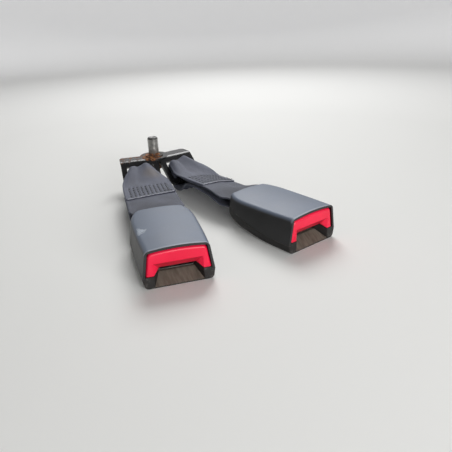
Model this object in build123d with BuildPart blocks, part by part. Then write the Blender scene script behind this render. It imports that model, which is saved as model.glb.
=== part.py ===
"""Twin seat belt buckle: two push-button buckles on webbing loops, held by one anchor bracket and its bolt.

Millimetres, +Z up. The origin is on the anchor bolt's axis, on the shoulder face that seats against the vehicle.
The buckles point towards -Y, one to each side of the YZ plane. Each buckle is drawn in its own frame: the origin
is under the middle of its mouth on the floor it rests on, +X points out of the mouth and +Z is up.
"""

import os
from math import asin, atan2, cos, degrees, hypot, radians, sin, tan

from build123d import *

# Layout of the twin assembly
spread_angle = 10.5  # each buckle turns this far out from -Y
seat_height = 33.5  # bolt's seating face above the floor
anchor_bar_out = 23.5  # anchor bar's middle, sideways from the bolt
anchor_bar_forward = 30.2  # anchor bar's middle, forward of the bolt
anchor_bar_height = 9.8  # anchor bar's middle above the floor
belt_span = 115.0  # from the anchor bar to the buckle's webbing bar

# Buckle covers
cover_length = 80.0
mouth_width = 51.0
cover_width = 55.2
rear_width = 41.0
cover_height = 30.3
rear_height = 28.0
crown_radius = 142.0
cover_draft = 9.0
cover_wall = 1.8
widest_height = 8.0
seam_front = 7.5
seam_rear = 16.0
seam_gap = 0.2
sole_length = 22.0  # flat stretch of the sole behind the mouth
sole_rise = 9.4  # how far the sole has risen at the rear end
top_fillet = 4.2
sole_fillet = 3.5
rear_fillet = 5.0
rib_width = 1.5
rib_y = 11.0
post_x = 43.0
post_y = 19.6
post_radius = 1.9
post_height = 18.0
post_shoulder = 12.5  # where the upper cover's sockets begin
socket_wall = 1.3
peg_x = 17.0
peg_radius = 1.5
opening_clear = 1.9  # round the belt where it leaves the covers

# Tongue channel
tongue_width = 25.0
tongue_gap = 0.5
channel_floor = 7.4  # top of the frame's floor plate
funnel_depth = 10.0
funnel_lip = 0.9
ramp_step = 0.4  # the ramp ends this far below the floor plate

# Button
button_depth = 12.0
button_travel = 5.5
button_wall = 1.8
button_gap = 0.35
button_leg_bottom = 9.5
button_leg_width = 5.6  # at the legs' lower end
button_bridge = 13.6  # underside of the button over the tongue
button_recess_top = 18.6
button_recess_depth = 3.8
button_leg_face = 5.6  # front face of each leg beside the recess
button_edge = 0.4  # the button's face sits this far inside the mouth
button_corner = 3.6
button_round = 2.0
arm_height = 4.0
arm_gap = 0.6  # between the arms and the frame's side walls
arm_inset = 1.1  # from the button's side to its arms
guide_post_radius = 1.5
guide_post_length = 6.0

# Steel frame
frame_thickness = 2.5
wall_thickness = 2.2
frame_front = 12.6
frame_wall_start = 21.0
frame_wall_end = 48.0
frame_top = 24.0
frame_step_start = 41.0  # where the floor plate starts to climb
frame_step_end = 52.0
belt_bar_x = 64.0  # middle of the webbing bar behind the mouth
belt_bar_height = 18.0
belt_bar_width = 5.0
belt_slot_length = 7.0
frame_margin = 2.4  # steel outside the webbing slot
bridge_length = 5.0
bridge_thickness = 1.6
seat_half = 4.5
seat_drop = 5.6
ejector_seat_bottom = 6.4
ejector_seat_thickness = 1.5
slot_width_half = 5.2
belt_corner = 4.0
wall_share = 0.45  # how far up the climbing plate the side walls reach
pin_stand = 0.3
fit_gap = 0.04  # pin in its steel hole
running_gap = 0.06  # pin in the latch

# Latch, lock bar and ejector
pivot_x = 42.0
pivot_height = 15.5
pivot_radius = 1.5
latch_boss = 2.8
latch_thickness = 2.2
latch_drop = 14.0  # degrees
hook_x = 23.5
hook_length = 3.0
hook_bottom = 11.2
hook_width = 5.0
hook_slope = 1.2
window_length = 6.5
window_clear = 0.8
lock_bar_x = 29.0
lock_bar_height = 19.9
lock_bar_radius = 1.75
lock_bar_short = 0.2  # how far its ends stay inside the button's arms
slide_gap = 0.2
ejector_front = 23.0
ejector_length = 10.0
ejector_head = 6.5
ejector_travel = 11.0
ejector_width = 9.8
ejector_height = 9.8
foot_length = 4.0
foot_half = 7.0
foot_thickness = 0.7

# Springs
wire = 0.8
spring_diameter = 5.0
ejector_spring_turns = 5
button_spring_turns = 5
leaf_thickness = 0.4
leaf_width = 6.0

spring_rest = 0.1  # between a spring and its seats
spring_solid = 6.0  # room left for the pushed ejector spring
ejector_spring_height = 8.7
button_spring_front = 9.0
button_spring_height = 21.2
leaf_bottom = 17.7
leaf_touch = 38.2

# Webbing
webbing_thickness = 1.3
webbing_width = 46.0
webbing_at_buckle = 40.6
webbing_at_anchor = 26.0
gathered_thickness = 5.6  # folded webbing round the anchor bar
strand_gap = 3.6
webbing_clear = 0.3
gather_run = 26.0  # from the anchor bar to where the strands have closed up
lap_end = 92.0  # end of the sewn lap, from the anchor bar
fold_height = 20.5  # the gathered webbing stands this far over the anchor bar's middle
fold_eave = 11.5  # height of its sides
fold_behind = 8.5  # how far it reaches back through the bracket's slot
fold_lean = 4.5  # its ridge lies this far to one side
fold_ridge = 3.0  # half the ridge's width

# Anchor bracket and bolt
bracket_thickness = 3.2
bracket_side = 5.5  # side bars beside the slot
bracket_slot_half = 14.0
bracket_bar = 6.0
bracket_slot_length = 21.5
bracket_bend = 3.0
fold_distance = 12.0  # from the bolt's axis to the fold
pad_radius = 15.0
pad_behind = 3.0
slot_corner = 1.0
wing_corner = 7.0
shoulder_radius = 6.5
thread_radius = 5.55
thread_length = 18.6
thread_chamfer = 1.0
flange_radius = 10.5
flange_height = 2.0
head_across_flats = 17.0
head_height = 8.0
washer_thickness = 1.1
washer_radius = 9.4
stack_gap = 0.1

# Places that follow from the sizes above
draft = tan(radians(cover_draft))
plate_bottom = channel_floor - frame_thickness
channel_half = tongue_width / 2 + tongue_gap
frame_half = channel_half + wall_thickness
slot_half = webbing_at_buckle / 2 + webbing_clear
belt_plate_half = slot_half + frame_margin
belt_bar_front = belt_bar_x - belt_bar_width / 2
belt_slot_front = belt_bar_front - belt_slot_length
belt_bar_reach = hypot(belt_bar_width, frame_thickness) / 2
buckle_loop = belt_bar_reach + webbing_clear
anchor_bar_reach = hypot(bracket_bar, bracket_thickness) / 2
anchor_loop = anchor_bar_reach + webbing_clear
anchor_bar_x = belt_bar_x + belt_span
hook_reach = pivot_x - hook_x
sole_drop = cover_length - sole_length
cheek_bottom = button_leg_bottom - button_gap
button_half = mouth_width / 2 - cover_wall - button_gap - draft * (button_leg_bottom - widest_height)
leg_inner = button_half - button_leg_width
recess_half = button_half - button_leg_face
funnel_width = 2 * leg_inner
bracket_half = bracket_slot_half + bracket_side
crown_fall = (cover_height - rear_height) / cover_length
button_top_gap = button_gap + crown_fall * (button_depth + button_travel)
arm_inner = frame_half + arm_gap
arm_outer = button_half - draft * (lock_bar_height + arm_height / 2 - button_leg_bottom) - arm_inset
arm_middle = (arm_inner + arm_outer) / 2
lock_bar_half = arm_outer - lock_bar_short
wall_middle = frame_half - wall_thickness / 2
rib_middle = (frame_wall_start + frame_wall_end) / 2 + 1
rail_middle = (frame_front + frame_step_start) / 2
hook_outer = channel_half - 1.4
hook_plate = hook_bottom + 4.0
leaf_top = frame_top - bridge_thickness
front_bridge_middle = frame_wall_start + bridge_length / 2
rear_bridge_middle = frame_wall_end - bridge_length / 2 - 2
ejector_spring_rear = ejector_front + ejector_length + ejector_travel + spring_solid
bar_reach = anchor_bar_out * sin(radians(spread_angle)) + anchor_bar_forward * cos(radians(spread_angle))
block_front = 2.0  # rough blocks run this far out before they are cut
block_side = 60.0


def side_curve(height, inset):
    """Points of the cover's left side in plan at one height, from the mouth to the rear."""
    shrink = inset + draft * abs(height - widest_height)
    front, middle, rear = mouth_width / 2, cover_width / 2, rear_width / 2
    shares = [(0, front), (0.26, front + 0.6 * (middle - front)), (0.58, middle), (0.8, middle - 0.4)]
    shares.append((0.94, rear + 0.5 * (middle - rear)))
    points = [(-share * cover_length, half - shrink) for share, half in shares]
    return points + [(inset - cover_length, rear - shrink)]


def cover_block(inset):
    """The whole cover as a solid, or with an inset the space inside its walls."""
    low, high = -4.0, cover_height + 4.0
    with BuildPart() as block:
        for height in (low, widest_height, high):
            with BuildSketch(Plane.XY.offset(height)):
                with BuildLine():
                    points = side_curve(height, inset)
                    left = Spline([Vector(x, y) for x, y in points])
                    mirror(left, Plane.XZ)
                    Line(left @ 1, Vector((left @ 1).X, -(left @ 1).Y))
                    Line(left @ 0, Vector((left @ 0).X, -(left @ 0).Y))
                make_face()
        loft(ruled=True)
        # Crowned top, falling towards the rear
        fall = degrees(asin(crown_fall))
        crown_plane = Plane(origin=(0, 0, 0), x_dir=(0, 1, 0), z_dir=(1, 0, 0)).rotated((0, -fall, 0))
        with BuildSketch(crown_plane):
            with Locations((0, cover_height - inset - crown_radius)):
                Circle(crown_radius)
        extrude(amount=cover_length * 1.2, both=True, mode=Mode.INTERSECT)
        # Sole: flat behind the mouth, then climbing to the rear
        with BuildSketch(Plane.XZ):
            with BuildLine():
                base = Line((block_front, inset), (-sole_length, inset))
                climb = Spline(
                    base @ 1,
                    (-sole_length - 0.55 * sole_drop, inset + 0.42 * sole_rise),
                    (-cover_length - block_front, inset + sole_rise * 1.04),
                    tangents=[(-1, 0), (-1, 0.26)],
                )
                Polyline(climb @ 1, (-cover_length - block_front, high), (block_front, high), base @ 0)
            make_face()
        extrude(amount=block_side, both=True, mode=Mode.INTERSECT)
    return block.part


def make_outer_block():
    """The whole cover's outside, with its rear corners, sole and top rounded."""
    with BuildPart() as block:
        add(cover_block(0))
        rear_edges = block.faces().sort_by(Axis.X)[0].edges()
        corners = rear_edges.filter_by(lambda e: abs((e @ 1).Z - (e @ 0).Z) > rear_height / 3)
        fillet(corners, rear_fillet)
        sole_edges = block.faces().sort_by(Axis.Z)[:3].edges()
        fillet(sole_edges.filter_by(lambda e: abs(e.center().Y) > rear_fillet), sole_fillet)
        top_edges = block.faces().sort_by(Axis.Z)[-1].edges()
        fillet(top_edges.filter_by(lambda e: e.center().X < -1), top_fillet)
    return block.part


def seam_line(rise):
    """The parting line between the covers in side view, raised by a small amount."""
    return Spline(
        (block_front, seam_front + rise),
        (-0.48 * cover_length, seam_front + 0.25 * (seam_rear - seam_front) + rise),
        (-0.9 * cover_length, seam_rear + rise),
        (-cover_length - block_front, seam_rear + 2 + rise),
    )


def beside_seam(cover, keep_above):
    """The part of a cover solid on one side of the seam, half the seam's gap away from it."""
    edge = cover_height + 6.0 if keep_above else -6.0
    with BuildPart() as side:
        add(cover)
        with BuildSketch(Plane.XZ):
            with BuildLine():
                line = seam_line(seam_gap / 2 if keep_above else -seam_gap / 2)
                Polyline(line @ 1, ((line @ 1).X, edge), ((line @ 0).X, edge), line @ 0)
            make_face()
        extrude(amount=block_side, both=True, mode=Mode.INTERSECT)
    return side.part


def rear_opening():
    """The hole in the back of the covers that the belt leaves through."""
    half_height = buckle_loop + webbing_thickness + opening_clear
    with BuildPart() as hole:
        with BuildSketch(Plane.XY.offset(belt_bar_height - half_height)):
            with Locations((-cover_length - block_front, 0)):
                Rectangle(
                    cover_length - belt_bar_x - buckle_loop,
                    2 * slot_half,
                    align=(Align.MIN, Align.CENTER),
                )
        extrude(amount=2 * half_height)
    return hole.part


def make_upper_cover():
    """Top shell, with hold-down ribs over the frame and two sockets for the lower cover's posts."""
    with BuildPart() as shell:
        add(outer_block)
        add(cover_block(cover_wall), mode=Mode.SUBTRACT)
    with BuildPart() as fittings:
        with BuildSketch(Plane.XY.offset(frame_top + slide_gap)):
            with Locations((-rib_middle, wall_middle), (-rib_middle, -wall_middle)):
                Rectangle(frame_wall_end - frame_wall_start - 6, rib_width)
        extrude(amount=cover_height)
        with BuildSketch(Plane.XY.offset(post_shoulder)):
            with Locations((-post_x, post_y), (-post_x, -post_y)):
                Circle(post_radius + socket_wall)
        extrude(amount=cover_height)
        with BuildSketch(Plane.XY.offset(post_shoulder)):
            with Locations((-post_x, post_y), (-post_x, -post_y)):
                Circle(post_radius + fit_gap)
        extrude(amount=post_height - post_shoulder + slide_gap, mode=Mode.SUBTRACT)
        add(cover_block(cover_wall / 2), mode=Mode.INTERSECT)
    with BuildPart() as cover:
        add(beside_seam(shell.part, True))
        add(fittings.part)
        add(rear_opening(), mode=Mode.SUBTRACT)
    return cover.part


def make_lower_cover():
    """Bottom shell: the tongue's funnel at its mouth, ribs and pegs under the frame, and two posts."""
    with BuildPart() as shell:
        add(outer_block)
        add(cover_block(cover_wall), mode=Mode.SUBTRACT)
    with BuildPart() as cheeks:
        with BuildSketch(Plane.YZ.offset(slide_gap - frame_front)):
            with BuildLine():
                Polyline(
                    (-block_side, -1),
                    (block_side, -1),
                    (block_side, cheek_bottom),
                    (leg_inner, cheek_bottom),
                    (channel_half, button_bridge - button_gap),
                    (-channel_half, button_bridge - button_gap),
                    (-leg_inner, cheek_bottom),
                    (-block_side, cheek_bottom),
                    close=True,
                )
            make_face()
        extrude(amount=frame_front - slide_gap)
    with BuildPart() as cheeks_above:
        add(cheeks.part)
        add(cover_block(cover_wall + seam_gap), mode=Mode.INTERSECT)
    with BuildPart() as cheeks_below:
        add(cheeks.part)
        add(beside_seam(cover_block(cover_wall / 2), False), mode=Mode.INTERSECT)
    ramp_top = channel_floor - ramp_step
    with BuildPart() as funnel:
        with BuildSketch(Plane.YZ):
            with Locations((0, funnel_lip)):
                Rectangle(funnel_width, cover_height, align=(Align.CENTER, Align.MIN))
        with BuildSketch(Plane.YZ.offset(-funnel_depth)):
            with Locations((0, ramp_top)):
                Rectangle(2 * channel_half, cover_height, align=(Align.CENTER, Align.MIN))
        loft(ruled=True)
        with BuildSketch(Plane.YZ.offset(-funnel_depth)):
            with Locations((0, ramp_top)):
                Rectangle(2 * channel_half, cover_height, align=(Align.CENTER, Align.MIN))
        extrude(amount=-frame_front)
    with BuildPart() as fittings:
        with BuildSketch(Plane.XY):
            with Locations((-rail_middle, rib_y), (-rail_middle, -rib_y)):
                Rectangle(frame_step_start - frame_front - 2, rib_width)
            with Locations((-post_x, post_y), (-post_x, -post_y)):
                Circle(post_radius + 1.0)
        extrude(amount=plate_bottom - slide_gap)
        with BuildSketch(Plane.XY):
            with Locations((-post_x, post_y), (-post_x, -post_y)):
                Circle(post_radius)
        extrude(amount=post_height)
        with BuildSketch(Plane.XY):
            with Locations((-peg_x, rib_y), (-peg_x, -rib_y)):
                Circle(peg_radius)
        extrude(amount=channel_floor - slide_gap)
        add(cover_block(cover_wall / 2), mode=Mode.INTERSECT)
    with BuildPart() as cover:
        add(beside_seam(shell.part, False))
        add(cheeks_below.part)
        add(outer_block, mode=Mode.INTERSECT)
        add(cheeks_above.part)
        add(funnel.part, mode=Mode.SUBTRACT)
        add(fittings.part)
        add(rear_opening(), mode=Mode.SUBTRACT)
    return cover.part


def button_outline(inset, back):
    """The button's front view at a distance behind the mouth, or with an inset the hollow behind it."""
    bottom_half = button_half - inset
    top_half = bottom_half - draft * (cover_height - button_leg_bottom)
    radius = crown_radius - cover_wall - button_top_gap - inset
    with BuildSketch(Plane.YZ.offset(-back)) as outline:
        with BuildLine():
            Polyline(
                (leg_inner + inset, button_leg_bottom),
                (bottom_half, button_leg_bottom),
                (top_half, cover_height),
                (-top_half, cover_height),
                (-bottom_half, button_leg_bottom),
                (-leg_inner - inset, button_leg_bottom),
                (-channel_half - inset, button_bridge + inset),
                (channel_half + inset, button_bridge + inset),
                close=True,
            )
        make_face()
        with Locations((0, cover_height - crown_radius)):
            Circle(radius, mode=Mode.INTERSECT)
        fillet(outline.vertices().group_by(Axis.Y)[-1], max(button_corner - inset, 0.5))
    return outline.sketch


def make_button():
    """Push button: a domed front over the tongue slot, two legs beside it and two arms to the lock bar."""
    with BuildPart() as button:
        extrude(button_outline(0, button_edge), amount=button_edge - button_depth)
        rim = button.faces().sort_by(Axis.X)[-1].outer_wire().edges()
        fillet(rim.filter_by(lambda e: e.center().Z > button_bridge + 1), button_round)
        # Recess round the tongue slot: its top and sides lean in from the legs' front faces
        with BuildSketch(Plane.YZ.offset(-button_edge)):
            with Locations((0, button_recess_top)):
                Rectangle(2 * recess_half, cover_height, align=(Align.CENTER, Align.MAX))
        with BuildSketch(Plane.YZ.offset(-button_edge - button_recess_depth)):
            with Locations((0, button_bridge)):
                Rectangle(2 * channel_half, cover_height, align=(Align.CENTER, Align.MAX))
        loft(ruled=True, mode=Mode.SUBTRACT)
        hollow = button_depth - button_edge - button_recess_depth - button_wall
        extrude(button_outline(button_wall, button_depth), amount=hollow, mode=Mode.SUBTRACT)
        # Arms that push the lock bar's ends
        with BuildSketch(Plane.YZ.offset(-lock_bar_x + lock_bar_radius + slide_gap)):
            with Locations((arm_middle, lock_bar_height), (-arm_middle, lock_bar_height)):
                Rectangle(arm_outer - arm_inner, arm_height)
        extrude(until=Until.NEXT)
        with BuildSketch(Plane.YZ.offset(-button_spring_front)):
            with Locations((0, button_spring_height)):
                Circle(guide_post_radius)
        extrude(until=Until.NEXT)
    return button.part


def make_frame():
    """Bent steel frame: a floor plate that climbs to the webbing bar, two side walls and two bridges."""
    step_rise = belt_bar_height + frame_thickness / 2 - channel_floor
    with BuildPart() as frame:
        with BuildSketch(Plane.XZ):
            with BuildLine():
                Polyline(
                    (-frame_front, channel_floor),
                    (-frame_step_start, channel_floor),
                    (-frame_step_end, channel_floor + step_rise),
                    (-belt_bar_x - belt_bar_width / 2, channel_floor + step_rise),
                )
                offset(amount=frame_thickness, side=Side.LEFT)
            make_face()
        extrude(amount=belt_plate_half, both=True)
        # Plan outline: narrow channel in front, wide webbing end behind
        with BuildSketch(Plane.XY) as plan:
            with BuildLine():
                Polyline(
                    (-frame_front, frame_half),
                    (-frame_step_start - 2, frame_half),
                    (-frame_step_end, belt_plate_half),
                    (-belt_bar_x - belt_bar_width / 2, belt_plate_half),
                    (-belt_bar_x - belt_bar_width / 2, -belt_plate_half),
                    (-frame_step_end, -belt_plate_half),
                    (-frame_step_start - 2, -frame_half),
                    (-frame_front, -frame_half),
                    close=True,
                )
            make_face()
            fillet(plan.vertices().group_by(Axis.X)[0], belt_corner)
        extrude(amount=cover_height, mode=Mode.INTERSECT)
        # Side walls
        with BuildSketch(Plane.XZ.offset(-frame_half)) as wall:
            with BuildLine():
                Polyline(
                    (-frame_wall_start, channel_floor - frame_thickness / 2),
                    (-frame_wall_start, frame_top),
                    (-frame_wall_end, frame_top),
                    (-frame_wall_end, channel_floor + step_rise * wall_share),
                    (-frame_step_start, channel_floor - frame_thickness / 2),
                    close=True,
                )
            make_face()
            fillet(wall.vertices().group_by(Axis.Y)[-1], 2)
        extrude(amount=wall_thickness)
        mirror(about=Plane.XZ)
        # Bridges over the mechanism; the front one turns down as the button spring's seat
        with BuildSketch(Plane.XY.offset(frame_top)):
            with Locations((-front_bridge_middle, 0), (-rear_bridge_middle, 0)):
                Rectangle(bridge_length, 2 * frame_half - wall_thickness)
        extrude(amount=-bridge_thickness)
        with BuildSketch(Plane.XY.offset(frame_top)):
            with Locations((-frame_wall_start, 0)):
                Rectangle(bridge_thickness, 2 * seat_half, align=(Align.MAX, Align.CENTER))
        extrude(amount=-seat_drop)
        # Seat tab for the ejector spring, turned down at the end of its slot
        with BuildSketch(Plane.XY.offset(ejector_seat_bottom)):
            with Locations((-ejector_spring_rear, 0)):
                Rectangle(ejector_seat_thickness, 2 * slot_width_half, align=(Align.MAX, Align.CENTER))
        extrude(amount=belt_bar_height - ejector_seat_bottom)
        # Slot for the ejector, windows for the latch hooks, webbing slot
        with BuildSketch(Plane.XY):
            with Locations((-ejector_front + slide_gap, 0)):
                Rectangle(
                    ejector_spring_rear - ejector_front + slide_gap,
                    2 * slot_width_half,
                    align=(Align.MAX, Align.CENTER),
                )
            with Locations((hook_length - hook_x - 1, 0)):
                Rectangle(window_length, 2 * (hook_outer + window_clear), align=(Align.MAX, Align.CENTER))
        extrude(amount=belt_bar_height - frame_thickness * 2, mode=Mode.SUBTRACT)
        with BuildSketch(Plane.XY) as belt_slot:
            with Locations((-belt_bar_front, 0)):
                Rectangle(belt_slot_length, 2 * slot_half, align=(Align.MIN, Align.CENTER))
            fillet(belt_slot.vertices(), slot_corner)
        extrude(amount=cover_height, mode=Mode.SUBTRACT)
        # Holes for the pegs, the latch's pin and the lock bar's travel
        with BuildSketch(Plane.XY):
            with Locations((-peg_x, rib_y), (-peg_x, -rib_y)):
                Circle(peg_radius + fit_gap)
        extrude(amount=channel_floor + 1, mode=Mode.SUBTRACT)
        with BuildSketch(Plane.XZ):
            with Locations((-pivot_x, pivot_height)):
                Circle(pivot_radius + fit_gap)
            with Locations((-lock_bar_x - button_travel / 2, lock_bar_height)):
                SlotCenterToCenter(button_travel + slide_gap, 2 * (lock_bar_radius + running_gap))
        extrude(amount=cover_width, both=True, mode=Mode.SUBTRACT)
    return frame.part


def make_pivot_pin():
    """Steel pin through both side walls that the latch swings on."""
    half = frame_half + pin_stand
    with BuildPart() as pin:
        with BuildSketch(Plane.XZ.offset(-half)):
            with Locations((-pivot_x, pivot_height)):
                Circle(pivot_radius)
        extrude(amount=2 * half)
        chamfer(pin.edges(), 0.3)
    return pin.part


def make_latch():
    """Latch plate with two hooks, drawn raised, as it stands while no tongue is in."""
    half = channel_half - slide_gap * 2
    with BuildPart() as latch:
        with BuildSketch(Plane.XZ):
            with BuildLine():
                Polyline(
                    (-pivot_x, pivot_height - latch_thickness / 2),
                    (hook_length / 2 - hook_x, hook_plate),
                    (hook_length / 2 - hook_x, hook_plate + latch_thickness),
                    (-pivot_x, pivot_height + latch_thickness / 2),
                    close=True,
                )
            make_face()
            with Locations((-pivot_x, pivot_height)):
                Circle(latch_boss)
        extrude(amount=half, both=True)
        with BuildSketch(Plane.XZ) as hook:
            with BuildLine():
                Polyline(
                    (-hook_x - hook_length / 2, hook_plate + latch_thickness / 2),
                    (-hook_x - hook_length / 2, hook_bottom),
                    (-hook_x, hook_bottom),
                    (hook_length / 2 - hook_x, hook_bottom + hook_slope),
                    (hook_length / 2 - hook_x, hook_plate + latch_thickness / 2),
                    close=True,
                )
            make_face()
        extrude(amount=hook_outer, both=True)
        with BuildSketch(Plane.XY.offset(hook_bottom - 1)):
            with Locations((-hook_x, 0)):
                Rectangle(2 * hook_length, 2 * (hook_outer - hook_width))
        extrude(amount=hook_plate - hook_bottom + 0.5, mode=Mode.SUBTRACT)
        # Window in the plate
        with BuildSketch(Plane.XY):
            with Locations((-(pivot_x + hook_x) / 2 + 1, 0)):
                Rectangle(hook_reach * 0.3, half)
        extrude(amount=frame_top, mode=Mode.SUBTRACT)
        with BuildSketch(Plane.XZ):
            with Locations((-pivot_x, pivot_height)):
                Circle(pivot_radius + running_gap)
        extrude(amount=cover_width, both=True, mode=Mode.SUBTRACT)
    return latch.part


def make_lock_bar():
    """Steel bar across the frame that holds the latch down; the button's arms push it back."""
    with BuildPart() as bar:
        with BuildSketch(Plane.XZ.offset(-lock_bar_half)):
            with Locations((-lock_bar_x, lock_bar_height)):
                Circle(lock_bar_radius)
        extrude(amount=2 * lock_bar_half)
        chamfer(bar.edges(), 0.4)
    return bar.part


def make_ejector():
    """Plastic slider in the floor plate's slot that pushes the tongue out."""
    middle = ejector_front + ejector_length / 2
    with BuildPart() as ejector:
        with BuildSketch(Plane.XY.offset(plate_bottom - slide_gap)):
            with Locations((-middle, 0)):
                Rectangle(ejector_length, ejector_width)
        extrude(amount=ejector_height - plate_bottom + slide_gap)
        # Head over the plate and foot under it
        with BuildSketch(Plane.XY.offset(channel_floor + slide_gap)):
            with Locations((-ejector_front, 0)):
                Rectangle(
                    ejector_head,
                    2 * (hook_outer - hook_width - slide_gap * 2),
                    align=(Align.MAX, Align.CENTER),
                )
        extrude(amount=ejector_height - channel_floor - slide_gap)
        with BuildSketch(Plane.XY.offset(plate_bottom - slide_gap)):
            with Locations((-ejector_front, 0)):
                Rectangle(foot_length, 2 * foot_half, align=(Align.MAX, Align.CENTER))
        extrude(amount=-foot_thickness)
        fillet(ejector.edges().group_by(Axis.X)[-1].sort_by(Axis.Z)[-1], 0.8)
    return ejector.part


def make_coil(front, rear, height, turns):
    """Square-wire compression spring along X between a front and a rear seat."""
    length = rear - front - wire - 2 * spring_rest
    with BuildPart() as coil:
        with BuildLine():
            turn_line = Helix(
                length / turns,
                length,
                (spring_diameter - wire) / 2,
                center=(-front - spring_rest - wire / 2, 0, height),
                direction=(-1, 0, 0),
            )
        with BuildSketch(Plane(origin=turn_line @ 0, x_dir=(1, 0, 0), z_dir=turn_line % 0)):
            Rectangle(wire, wire)
        sweep(path=turn_line, is_frenet=True)
    return coil.part


def make_leaf():
    """Bent spring strip under the rear bridge that presses on the latch."""
    with BuildPart() as leaf:
        with BuildSketch(Plane.XZ):
            with BuildLine():
                Polyline(
                    (-rear_bridge_middle - bridge_length / 2, leaf_top),
                    (-rear_bridge_middle, leaf_top),
                    (-leaf_touch, leaf_bottom),
                    (-leaf_touch + 1.2, leaf_bottom + 0.7),
                )
                offset(amount=leaf_thickness, side=Side.RIGHT)
            make_face()
        extrude(amount=leaf_width / 2, both=True)
    return leaf.part


def make_fold():
    """The folded webbing that stands up where the belt passes through the bracket's slot, and flattens forwards."""
    rear, low = -anchor_bar_x, anchor_bar_height
    half = webbing_at_anchor / 2 - webbing_clear
    foot = low + anchor_loop + webbing_thickness
    stations = (
        (rear - fold_behind, 0.75 * half, 0.9 * fold_eave, 0.8 * fold_height),
        (rear - 0.65 * fold_behind, half, fold_eave, fold_height),
        (rear + anchor_loop, half, fold_eave, 0.95 * fold_height),
        (rear + 0.5 * gather_run, half + 2, fold_eave - 0.5, 0.8 * fold_height),
        (rear + gather_run, half + 6, fold_eave - 1.5, fold_eave - 1),
    )
    with BuildPart() as fold:
        for place, width, eave, ridge in stations:
            with BuildSketch(Plane.YZ.offset(place)):
                Polygon(
                    (-width, foot),
                    (width, foot),
                    (width, low + eave),
                    (fold_lean + fold_ridge, low + ridge),
                    (fold_lean - fold_ridge, low + ridge),
                    (-width, low + eave),
                    align=None,
                )
        loft(ruled=True)
    return fold.part


def make_webbing():
    """One belt of webbing round both bars: the strands run close together and the anchor end is gathered."""
    top = gathered_thickness
    lap = 2 * webbing_thickness
    rear, front = -anchor_bar_x, -belt_bar_x
    middle_z = belt_bar_height
    low = anchor_bar_height
    near, lap_front = rear + gather_run, rear + lap_end
    strand_low = low + 0.45 * (middle_z - low)
    with BuildPart() as belt:
        with BuildSketch(Plane.XZ):
            with BuildLine():
                Spline(
                    (rear, low + anchor_loop + top),
                    (near, strand_low + strand_gap + lap + 1.4),
                    (lap_front, middle_z + 2.0 + lap),
                    (front, middle_z + buckle_loop + webbing_thickness),
                    tangents=[(1, 0), (1, 0)],
                )
                CenterArc((front, middle_z), buckle_loop + webbing_thickness, -90, 180)
                Spline(
                    (front, middle_z - buckle_loop - webbing_thickness),
                    (lap_front, middle_z - buckle_loop - webbing_thickness - 0.3),
                    (near, strand_low - webbing_thickness - 0.6),
                    (rear, low - anchor_loop - top),
                    tangents=[(-1, 0), (-1, 0)],
                )
                CenterArc((rear, low), anchor_loop + top, 90, 180)
            make_face()
            with BuildLine():
                Spline(
                    (rear, low + anchor_loop),
                    (near, strand_low + strand_gap),
                    (lap_front, middle_z + 1.4),
                    (front, middle_z + buckle_loop),
                    tangents=[(1, 0), (1, 0)],
                )
                CenterArc((front, middle_z), buckle_loop, -90, 180)
                Spline(
                    (front, middle_z - buckle_loop),
                    (lap_front, middle_z - buckle_loop - 0.3),
                    (near, strand_low),
                    (rear, low - anchor_loop),
                    tangents=[(-1, 0), (-1, 0)],
                )
                CenterArc((rear, low), anchor_loop, 90, 180)
            make_face(mode=Mode.SUBTRACT)
        extrude(amount=webbing_width, both=True)
        with BuildSketch(Plane.XY.offset(-cover_height)):
            with BuildLine():
                gathered, full, entry = webbing_at_anchor / 2, webbing_width / 2, webbing_at_buckle / 2
                tie = Line((rear - anchor_loop - top - 1, gathered), (rear + anchor_loop, gathered))
                flare = Spline(tie @ 1, (near + 6, full), tangents=[(1, 0), (1, 0)])
                body = Line(flare @ 1, (lap_front, full))
                narrow = Spline(body @ 1, (-cover_length - 2, entry), tangents=[(1, 0), (1, 0)])
                end = Line(narrow @ 1, (front + buckle_loop + webbing_thickness + 1, entry))
                mirror(about=Plane.XZ)
                Line(tie @ 0, Vector((tie @ 0).X, -(tie @ 0).Y))
                Line(end @ 1, Vector((end @ 1).X, -(end @ 1).Y))
            make_face()
        extrude(amount=3 * cover_height, mode=Mode.INTERSECT)
        add(make_fold())
    return belt.part


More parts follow.
